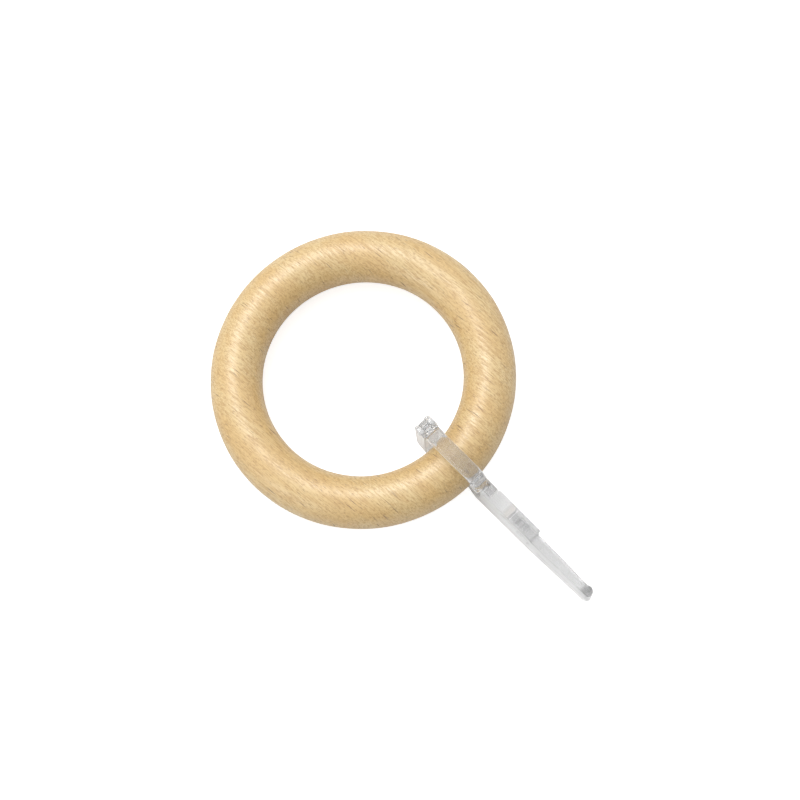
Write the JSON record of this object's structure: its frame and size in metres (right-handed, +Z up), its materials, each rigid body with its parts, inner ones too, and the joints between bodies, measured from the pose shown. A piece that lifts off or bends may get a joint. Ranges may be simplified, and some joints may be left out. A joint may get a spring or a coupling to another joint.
{
  "type": "wooden grasping ring with clip",
  "caption": "Smooth turned wooden ring for a baby to grasp or mouth, held by a clear plastic clip whose loop opens and whose sprung jaws grip cloth.",
  "frame": {"origin": "on the floor under the middle of the bounding box", "axes": "+X from the ring along the clip to its jaws' tips, +Y to the clip's left side, +Z up, the way the moving jaw opens"},
  "size_m": [0.1068, 0.07, 0.0186],
  "materials": {
    "beech": "satin, waxed, fine ray flecks",
    "clear_plastic": "clear, polished moulding"
  },
  "bodies": {
    "ring": {"ring": "beech"},
    "clip": {"clip_body": "clear_plastic", "gate_pin": "clear_plastic", "jaw_pin": "clear_plastic", "jaw_spring": "clear_plastic"},
    "gate": {"loop_gate": "clear_plastic"},
    "jaw": {"jaw_lever": "clear_plastic"}
  },
  "joints": [
    {"name": "clip_travel", "type": "hinge", "parent": "ring", "child": "clip", "pos_m": [-0.01847, 0, 0.00745], "axis": [-0.05, 0, 0.9987], "continuous": true},
    {"name": "gate_hinge", "type": "hinge", "parent": "clip", "child": "gate", "pos_m": [0.00128, 0.00105, 0.01685], "axis": [0, -1, 0], "range_deg": [0, 75]},
    {"name": "jaw_hinge", "type": "hinge", "parent": "clip", "child": "jaw", "pos_m": [0.03213, 0.0014, 0.0092], "axis": [0, -1, 0], "range_deg": [0, 10], "stiffness_Nm_per_rad": 0.05, "springref_deg": -5.73, "deforming": ["jaw_spring"]}
  ]
}
